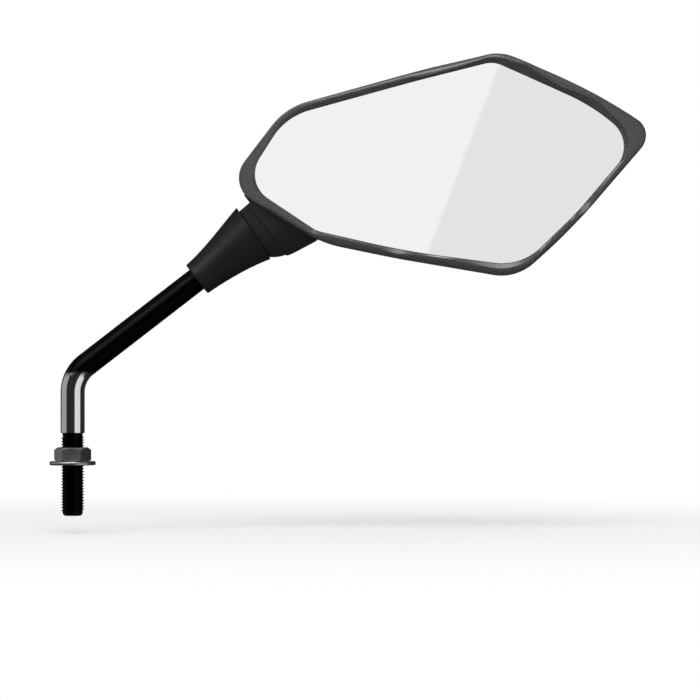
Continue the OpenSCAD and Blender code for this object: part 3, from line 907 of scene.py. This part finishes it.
class FastenerOperator(bpy.types.Operator):
    """Turns the washer and makes the lock nut"""

    bl_idname = "mirror.fasteners"
    bl_label = "Nut and washer"

    def execute(self, context):
        sizes, finishes = context.scene.mirror_stem, context.scene.mirror_finishes
        zinc = zinc_plate(finishes)
        bore, edge = sizes.stud_d / 2 + WASHER_PLAY, WASHER_EDGE
        out, t = sizes.washer_d / 2, sizes.washer_t
        profile = [
            (bore + edge, 0), (out - edge, 0), (out, edge), (out, t - edge), (out - edge, t),
            (bore + edge, t), (bore, t - edge), (bore, edge),
        ]
        washer = revolve("plain_washer", profile, ORIGIN, UP, sharp=50.0)
        finish_piece(washer, "washer", ["washer"], [zinc])
        nut = hex_nut("hex_nut", sizes)
        finish_piece(nut, "lock_nut", ["lock_nut"], [zinc])
        return {"FINISHED"}


class ScrewOperator(bpy.types.Operator):
    """Sets the screws of the backing plate and of the ball joint's retainer"""

    bl_idname = "mirror.screws"
    bl_label = "Screws"

    def execute(self, context):
        head, joint = context.scene.mirror_head, context.scene.mirror_joint
        zinc = bpy.data.materials["Zinc-plated steel"]
        names = ["plate_screw_1", "plate_screw_2", "plate_screw_3", "plate_screw_4"]
        places = []
        for name in names:
            low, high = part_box(name)
            places.append(Vector(((low[0] + high[0]) / 2, low[1] + PLATE_HEAD_H, (low[2] + high[2]) / 2)))
            length = high[1] - low[1] - PLATE_HEAD_H
        screw = cross_screw(
            "plate_screw", head.screw_head_d / 2, PLATE_HEAD_H, head.screw_shank_d / 2, length
        )
        screws = set_screws("plate_screws", screw, places, -BACK, SCREW_TURNS, zinc)
        finish_piece(screws, "head", names)
        names = ["retainer_screw_1", "retainer_screw_2", "retainer_screw_3"]
        seat = BALL + ARM * (joint.tube_l + RETAINER_T)
        down = Vector((ARM.z, 0, -ARM.x))
        turns = [math.radians(angle) for angle in EAR_ANGLES]
        places = [seat + (down * math.cos(a) + BACK * math.sin(a)) * EAR_RING_R for a in turns]
        screw = cross_screw(
            "retainer_screw", RETAINER_HEAD_R, RETAINER_HEAD_H, RETAINER_SHANK_R, RETAINER_SHANK_L
        )
        screws = set_screws("retainer_screws", screw, places, ARM, SCREW_TURNS, zinc)
        finish_piece(screws, "head", names)
        return {"FINISHED"}


def cross_screw(name, head_r, head_h, shank_r, length):
    """A screw along +Z with a cross in its domed head and a tapered tip, its head's seat at the origin."""
    profile = [(0, -length), (shank_r * TIP_R, -length), (shank_r, -length + shank_r * TIP_L)]
    profile += [(shank_r, 0), (head_r, 0)]
    for a in range(0, 90, 15):
        turn = math.radians(a)
        profile.append((head_r * math.cos(turn), head_h * (HEAD_EDGE + (1 - HEAD_EDGE) * math.sin(turn))))
    profile.append((0, head_h))
    screw = revolve(name, profile, ORIGIN, UP, sides=32)
    reach, half = head_r * CROSS_REACH, head_r * CROSS_HALF
    for across, along in ((reach, half), (half, reach)):
        corners = [(-across, -along), (across, -along), (across, along), (-across, along)]
        block = [Vector((x, y, z)) for z in (head_h * CROSS_FLOOR, head_h * 2) for x, y in corners]
        combine(screw, prism("slot", block, 4), "DIFFERENCE")
    return screw


def prism(name, points, sides):
    """A closed body between two like ends, which cuts another or keeps what is inside it."""
    obj = new_object(name, points, ring_faces(2, sides))
    outward(obj)
    return obj


def hex_nut(name, sizes):
    """A hexagon nut with chamfered corners and a countersunk, threaded-size bore."""
    low = sizes.washer_t + CONTACT_GAP
    high = low + sizes.nut_h
    flat, bore = sizes.nut_flats / 2, sizes.stud_d / 2 + NUT_PLAY
    corner = flat / math.cos(math.radians(30))
    past = corner + NUT_PAST
    (sink_low, sink_high), (bevel_low, bevel_high) = NUT_SINKS, NUT_BEVELS
    profile = [
        (bore, low + sink_low), (bore + sink_low, low), (flat, low), (past, low + bevel_low),
        (past, high - bevel_high), (flat - NUT_FACE_IN, high), (bore + sink_high, high),
        (bore, high - sink_high),
    ]
    body = revolve(name, profile, ORIGIN, UP)
    points = [Vector((x, y, z)) for z in (low - MM, high + MM) for x, y in circle(corner, 6)]
    combine(body, prism("hexagon", points, 6), "INTERSECT")
    shade(body, sharp=12.0)
    return body


class HeadOperator(bpy.types.Operator):
    """Lofts the housing and its rim, joins the neck, and cuts the hollow and the ball joint's socket"""

    bl_idname = "mirror.head"
    bl_label = "Head"

    def execute(self, context):
        sizes, finishes = context.scene.mirror_head, context.scene.mirror_finishes
        tube_l = context.scene.mirror_joint.tube_l / MM
        crest = DOME_START - sizes.rim_h / MM
        depth, wall = sizes.dome_h / MM, sizes.wall / MM
        shapes = rim_shape()
        shell = shell_body(shapes, crest, depth)
        combine(shell, neck_body(sizes), "UNION")
        combine(shell, cavity_body(shapes, crest, depth, wall, tube_l), "DIFFERENCE")
        combine(shell, socket_body(tube_l), "DIFFERENCE")
        shade(shell, sharp=21.0)
        plastics = [shell_plastic(finishes), rim_plastic_painted_sheen(finishes)]
        finish_piece(shell, "head", ["housing"], plastics)
        # What lies in front of the dome, inside its outline, is the polished rim, in its paler colour that
        # paints on part of its highlight
        outline = rounded(inset(OUTER, -RIM_MARGIN))
        for face in shell.data.polygons:
            place = (face.center - BALL) / MM
            if place.y < DOME_START + RIM_MARGIN and inside(outline, place.x, place.z):
                face.material_index = 1
        return {"FINISHED"}


def inside(outline, x, z):
    """Whether a place is inside an outline."""
    crossings = 0
    for p, q in zip(outline, outline[1:] + outline[:1]):
        if (p.y > z) != (q.y > z) and x < p.x + (q.x - p.x) * (z - p.y) / (q.y - p.y):
            crossings += 1
    return crossings % 2 == 1


def at_depth(centre, y):
    """The centre of an outline at a depth."""
    return centre[0], y, centre[1]


def round_arm(name, profile):
    """A body turned round the arm, from a profile in millimetres measured from the ball's centre."""
    return revolve(name, [(r * MM, s * MM) for r, s in profile], BALL, ARM)


def shell_body(shapes, crest, depth):
    """The solid head: a land and rounded edge round the glass, straight sides, and the dome behind."""
    start = [outer.lerp(inner, RIM_START) for outer, inner, _, _ in shapes]
    rings = [[(p.x, crest, p.y) for p in start]]
    for a in map(math.radians, range(0, 91, 10)):
        ring = []
        for outer, inner, _, bead in shapes:
            place = outer.lerp(inner, bead * (1 - math.sin(a)))
            fall = min(BEAD_DEPTH, BEAD_SHARE * bead * (inner - outer).length) * (1 - math.cos(a))
            ring.append((place.x, crest + fall, place.y))
        rings.append(ring)
    rings += [dome_ring(dome_corners(a), a, depth) for a in map(math.radians, range(0, 91, 5))]
    top = math.pi / 2
    for share in (0.75, 0.5, 0.25):
        corners = shrink(OUTER, DOME_CENTRE, CROWN_SHARE * share)
        rings.append(dome_ring(corners, top, depth + CROWN_RISE * (1 - share * share)))
    back = dome_y(DOME_CENTRE[0], top, depth + CROWN_RISE)
    return head_rings(rings, at_depth(GLASS_CENTRE, crest), at_depth(DOME_CENTRE, back), "head_shell")


def neck_body(sizes):
    """The neck outside the head: a round nose, a collar at the boot's mouth, and a fairing into the dome."""
    neck_r = sizes.neck_d / 2 / MM
    wide, flare_l = neck_r + NECK_FLARE, NECK_FLARE_S - COLLAR_S
    profile = [(0, -NOSE_R)] + arc(NOSE_R, 2, COLLAR_ANGLE, step=2)
    profile += [(neck_r + out, COLLAR_S + along) for out, along in COLLAR_EDGE]
    profile += [(neck_r + NECK_FLARE * t, COLLAR_S + flare_l * t) for t in (0.25, 0.5, 0.75, 1)]
    for a in map(math.radians, range(5, 90, 5)):
        profile.append((wide * math.cos(a), NECK_FLARE_S + (NECK_END_S - NECK_FLARE_S) * math.sin(a)))
    profile.append((0, NECK_END_S))
    neck = round_arm("neck", profile)
    # The top of the nose and collar is cut flat below the rim
    side, trim, end = TRIM_BLOCK * MM, NECK_TOP_TRIM * MM, NECK_TOP_S * MM
    up = Vector((-ARM.z, 0, ARM.x))
    corners = [(trim, -side), (trim + side, -side), (trim + side, side), (trim, side)]
    block = [BALL + up * t + BACK * y + ARM * along for along in (-side, end) for t, y in corners]
    combine(neck, prism("flat", block, 4), "DIFFERENCE")
    return neck


def cavity_body(shapes, crest, depth, wall, tube_l):
    """The hollow of the head, from the slope inside the rim to the dome's wall, round the socket tube."""
    fall = math.tan(math.radians(SLOPE_TILT))
    rings = [[], [], []]
    for outer, inner, slope, _ in shapes:
        edge = inner.lerp(outer, slope)
        rings[0].append((edge.x, crest - OVERLAP, edge.y))
        rings[1].append((edge.x, crest, edge.y))
        rings[2].append((inner.x, crest + slope * (inner - outer).length * fall, inner.y))
    rings.append(rim_ring(inset(GLASS, -GLASS_GAP), DOME_START - OVERLAP))
    hollow_d = depth - wall
    for a in map(math.radians, range(0, 91, 10)):
        rings.append(dome_ring(inset(dome_corners(a), wall), a, hollow_d))
    front, back = crest - OVERLAP, dome_y(DOME_CENTRE[0], math.pi / 2, hollow_d)
    hollow = head_rings(rings, at_depth(GLASS_CENTRE, front), at_depth(DOME_CENTRE, back), "hollow")
    end = tube_l + OVERLAP
    combine(hollow, round_arm("tube", [(0, 0), (TUBE_R, 0), (TUBE_R, end), (0, end)]), "DIFFERENCE")
    return hollow


def socket_body(tube_l):
    """Room for the ball's seat, the spring and the retainer, and the throat that the rod tilts in."""
    end = tube_l + RETAINER_ROOM_L
    profile = arc(NOSE_R + OVERLAP, 0, THROAT_OUT, step=6) + arc(SOCKET_R, THROAT_IN, 90, step=4)
    profile += [(SOCKET_R, tube_l), (RETAINER_ROOM_R, tube_l), (RETAINER_ROOM_R, end), (0, end)]
    return round_arm("socket", profile)


class GlassOperator(bpy.types.Operator):
    """Makes the convex glass with its ground edge"""

    bl_idname = "mirror.glass"
    bl_label = "Glass"

    def execute(self, context):
        sizes, finishes = context.scene.mirror_head, context.scene.mirror_finishes
        front = DOME_START - sizes.rim_h / MM + sizes.glass_recess / MM
        thick, radius, bevel = sizes.glass_t / MM, sizes.glass_r / MM, sizes.glass_bevel / MM

        def sheet(corners, offset):
            return [(p.x, front + sag(p) + offset, p.y) for p in rounded(corners)]

        def sag(p):
            reach = math.hypot(p.x - GLASS_CENTRE[0], p.y - GLASS_CENTRE[1])
            return radius - math.sqrt(radius * radius - reach * reach)

        inner = inset(GLASS, bevel)
        rings = [sheet(shrink(inner, GLASS_CENTRE, share), 0) for share in GLASS_SHARES]
        rings += [sheet(inner, 0), sheet(GLASS, bevel * BEVEL_FRONT)]
        rings += [sheet(GLASS, thick - bevel * BEVEL_BACK), sheet(inner, thick)]
        rings += [sheet(shrink(inner, GLASS_CENTRE, share), thick) for share in reversed(GLASS_SHARES)]
        tips = at_depth(GLASS_CENTRE, front), at_depth(GLASS_CENTRE, front + thick)
        glass = head_rings(rings, *tips, "convex_glass")
        for material in (silvered_glass(finishes), ground_edge(finishes)):
            glass.data.materials.append(material)
        # What looks forward shows the silver, and the edge and back have the other finish
        for face in glass.data.polygons:
            face.material_index = 0 if face.normal.y < -FACING else 1
        shade(glass, sharp=25.0)
        finish_piece(glass, "head", ["mirror_glass"])
        return {"FINISHED"}


class InsideOperator(bpy.types.Operator):
    """Winds the pressure spring and finishes the pieces inside the head and the ball joint"""

    bl_idname = "mirror.inside"
    bl_label = "Inside pieces"

    def execute(self, context):
        joint, finishes = context.scene.mirror_joint, context.scene.mirror_finishes
        zinc, nylon = bpy.data.materials["Zinc-plated steel"], natural_nylon(finishes)
        wire, low = joint.spring_wire / 2, joint.ball_cover + joint.seat_boss
        start = BALL + ARM * (low + wire + CONTACT_GAP)
        rise = joint.tube_l - low - 2 * wire - 3 * CONTACT_GAP
        path = wind(start, ARM, joint.spring_d / 2 - wire, rise, joint.spring_turns, steps=36)
        spring = sweep("coil_spring", path, circle(wire, sides=14), zinc, sharp=50.0)
        finish_piece(spring, "head", ["pressure_spring"])
        for name, material in (
            ("pivot_ball", polished_steel(finishes)),
            ("ball_seat", nylon),
            ("pressure_cup", nylon),
            ("backing_plate", plate_plastic(finishes)),
            ("glass_pad", cell_foam(finishes)),
            ("spring_seat", zinc),
            ("retainer_plate", zinc),
        ):
            node = frame["nodes"][name]
            node.data.materials.clear()
            node.data.materials.append(material)
        return {"FINISHED"}


class StageOperator(bpy.types.Operator):
    """Sets the pale floor, the lights, the board that the glass shows, and the camera"""

    bl_idname = "mirror.stage"
    bl_label = "Stage"

    def execute(self, context):
        scene = context.scene
        scene.view_settings.view_transform = "Standard"
        place_floor()
        shine_on(place_board(context.scene.mirror_head), ["convex_glass", "head_shell"])
        surroundings(scene)
        for lamp in LAMPS:
            light(*lamp)
        camera = bpy.data.objects.new("camera", bpy.data.cameras.new("camera"))
        scene.collection.objects.link(camera)
        scene.camera = camera
        place_camera(camera)
        return {"FINISHED"}


def place_camera(camera):
    """Puts the camera at the photograph's viewing angle, straight in front of the head."""
    camera.location = FRAME_CENTRE - BACK * CAMERA_FAR
    camera.rotation_euler = (math.pi / 2, 0, 0)
    camera.data.sensor_width = SENSOR
    camera.data.lens = SENSOR / 2 * CAMERA_FAR / FRAME_HALF
    camera.data.dof.use_dof = False
    camera.data.clip_start, camera.data.clip_end = 0.01, 100.0


def light(name, place, width, watts):
    """A soft square light that faces the head."""
    lamp = bpy.data.lights.new(name, "AREA")
    lamp.shape = "SQUARE"
    lamp.size = width
    lamp.energy = watts
    obj = bpy.data.objects.new(name, lamp)
    obj.location = place
    obj.rotation_mode = "QUATERNION"
    obj.rotation_quaternion = (BALL - obj.location).to_track_quat("-Z", "Y")
    bpy.context.scene.collection.objects.link(obj)


def place_floor():
    """Pale paper with the object's shadow near the stud, fading to the white that the camera sees behind."""
    far = FLOOR_FAR
    corners = [Vector((x, y, FLOOR_Z)) for x, y in ((-far, -far), (far, -far), (far, far), (-far, far))]
    floor = new_object("floor", corners, [(0, 1, 2, 3)])
    material, tree, shader = new_material("Pale paper", Roughness=0.9)
    shader.inputs["Base Color"].default_value = linear("#f4f4f4")
    place = add(tree, "ShaderNodeTexCoord").outputs["Object"]
    around = add(
        tree, "ShaderNodeVectorMath", {0: place, 1: SHADOW_CENTRE}, operation="DISTANCE"
    ).outputs["Value"]
    away = add(
        tree, "ShaderNodeMapRange",
        {"Value": around, "From Min": SHADOW_NEAR, "From Max": SHADOW_FAR, "To Min": SHADOW_LIFT},
        interpolation_type="SMOOTHSTEP",
    ).outputs[0]
    seen = add(tree, "ShaderNodeLightPath").outputs["Is Camera Ray"]
    share = add(tree, "ShaderNodeMath", {0: away, 1: seen}, operation="MULTIPLY").outputs[0]
    white = add(tree, "ShaderNodeEmission", {"Color": WHITE, "Strength": 1.0}).outputs[0]
    mixed = add(tree, "ShaderNodeMixShader", {0: share, 1: shader.outputs[0], 2: white}).outputs[0]
    tree.links.new(mixed, tree.nodes["Material Output"].inputs["Surface"])
    floor.data.materials.append(material)
    # Gloss shows the studio in place of the floor
    floor.visible_glossy = False


def place_board(sizes):
    """A pale board in front of the head, seen only in gloss, a little larger than what the glass shows."""
    board = []
    for x, z, _ in inset(GLASS, -BOARD_MARGIN):
        point = in_place(x, DOME_START - sizes.rim_h / MM, z)
        look = (point - FRAME_CENTRE) / CAMERA_FAR
        curve = Vector((x - GLASS_CENTRE[0], 0, z - GLASS_CENTRE[1])) * MM / sizes.glass_r
        corner = point + (look + 2 * curve) * BOARD_FAR
        corner.y = -BOARD_FAR
        board.append(corner)
    obj = new_object("board", board, [tuple(range(len(board)))])
    material = bpy.data.materials.new("Lit board")
    material.use_nodes = True
    tree = material.node_tree
    place = add(tree, "ShaderNodeTexCoord").outputs["Object"]
    # One side of the board is greyer, with a soft slanting edge
    across = add(
        tree, "ShaderNodeVectorMath", {0: place, 1: BOARD_SPLIT_SIDE}, operation="DOT_PRODUCT"
    ).outputs["Value"]
    low, high = BOARD_SPLIT - BOARD_SOFT, BOARD_SPLIT + BOARD_SOFT
    pale, grey = BOARD_TONES
    tone = add(
        tree, "ShaderNodeMapRange",
        {"Value": across, "From Min": low, "From Max": high, "To Min": pale, "To Max": grey},
        interpolation_type="SMOOTHSTEP",
    ).outputs[0]
    glow = add(tree, "ShaderNodeEmission", {"Color": WHITE, "Strength": tone}).outputs[0]
    tree.links.new(glow, tree.nodes["Material Output"].inputs["Surface"])
    obj.data.materials.append(material)
    obj.visible_camera = obj.visible_diffuse = obj.visible_shadow = obj.visible_transmission = False
    return obj


def shine_on(board, names):
    """Lets a lit board act on named pieces only."""
    lit = bpy.data.collections.new(board.name + "_pieces")
    for name in names:
        lit.objects.link(bpy.data.objects[name])
    board.light_linking.receiver_collection = lit


def surroundings(scene):
    """White to the camera, soft even light on the object, and a dim studio with pale panels in its gloss."""
    world = bpy.data.worlds.new("Studio")
    scene.world = world
    world.use_nodes = True
    tree = world.node_tree
    tree.nodes.clear()
    paths = add(tree, "ShaderNodeLightPath").outputs
    way = add(tree, "ShaderNodeTexCoord").outputs["Generated"]
    seen = add(tree, "ShaderNodeSeparateXYZ", {"Vector": way}).outputs
    front = add(tree, "ShaderNodeMath", {0: seen["Y"], 1: -1.0}, operation="MULTIPLY").outputs[0]
    turn = add(tree, "ShaderNodeMath", {0: seen["X"], 1: front}, operation="ARCTAN2").outputs[0]
    # The dim studio is a little paler straight behind and straight above
    behind = add(
        tree, "ShaderNodeMapRange",
        {"Value": seen["Y"], "From Min": 0.8, "From Max": 0.97, "To Min": STUDIO, "To Max": STUDIO_BEHIND},
    ).outputs[0]
    above = add(
        tree, "ShaderNodeMapRange",
        {"Value": seen["Z"], "From Min": 0.6, "From Max": 0.98, "To Max": STUDIO_ABOVE},
    ).outputs[0]
    glossy = add(tree, "ShaderNodeMath", {0: behind, 1: above}, operation="MAXIMUM").outputs[0]
    for first, last, bottom, top, strength in PANELS:
        shown = strength
        for value, low, high in (
            (turn, first - PANEL_SIDE, first + PANEL_SIDE),
            (turn, last + PANEL_SIDE, last - PANEL_SIDE),
            (seen["Z"], bottom - PANEL_FOOT, bottom + PANEL_FOOT),
            (seen["Z"], top + PANEL_TOP, top - PANEL_TOP),
        ):
            side = add(
                tree, "ShaderNodeMapRange", {"Value": value, "From Min": low, "From Max": high},
                interpolation_type="SMOOTHSTEP",
            ).outputs[0]
            shown = add(tree, "ShaderNodeMath", {0: side, 1: shown}, operation="MULTIPLY").outputs[0]
        glossy = add(tree, "ShaderNodeMath", {0: glossy, 1: shown}, operation="MAXIMUM").outputs[0]
    plain, studio, white = (
        add(tree, "ShaderNodeBackground", {"Color": WHITE, "Strength": level}).outputs[0]
        for level in (EVEN_LIGHT, glossy, 1.0)
    )
    lit = add(tree, "ShaderNodeMixShader", {0: paths["Is Glossy Ray"], 1: plain, 2: studio}).outputs[0]
    clear = add(
        tree, "ShaderNodeMath", {0: paths["Is Camera Ray"], 1: paths["Is Transmission Ray"]},
        operation="MAXIMUM",
    ).outputs[0]
    final = add(tree, "ShaderNodeMixShader", {0: clear, 1: lit, 2: white}).outputs[0]
    add(tree, "ShaderNodeOutputWorld", {"Surface": final})


class MirrorPanel(bpy.types.Panel):
    """Lists the pieces of the mirror and their sizes"""

    bl_idname = "VIEW3D_PT_mirror"
    bl_label = "Motorcycle mirror"
    bl_space_type = "VIEW_3D"
    bl_region_type = "UI"
    bl_category = "Mirror"

    def draw(self, context):
        for name in SETTINGS:
            group = getattr(context.scene, name)
            box = self.layout.box()
            for key in group.bl_rna.properties.keys():
                if key not in ("rna_type", "name"):
                    box.prop(group, key)
        for operator in OPERATORS:
            self.layout.operator(operator.bl_idname)


OPERATORS = (
    StemOperator, BootOperator, FastenerOperator, ScrewOperator, HeadOperator, GlassOperator,
    InsideOperator, StageOperator,
)
SETTINGS = {
    "mirror_stem": StemSizes, "mirror_joint": JointSizes, "mirror_head": HeadSizes,
    "mirror_finishes": Finishes,
}


def register():
    for group in SETTINGS.values():
        bpy.utils.register_class(group)
    for kind in (*OPERATORS, MirrorPanel):
        bpy.utils.register_class(kind)
    for name, group in SETTINGS.items():
        setattr(bpy.types.Scene, name, PointerProperty(type=group))


def unregister():
    for name in SETTINGS:
        delattr(bpy.types.Scene, name)
    for kind in (MirrorPanel, *reversed(OPERATORS)):
        bpy.utils.unregister_class(kind)
    for group in SETTINGS.values():
        bpy.utils.unregister_class(group)


def main():
    register()
    for operator in OPERATORS:
        group, name = operator.bl_idname.split(".")
        getattr(getattr(bpy.ops, group), name)()


if __name__ == "__main__":
    main()
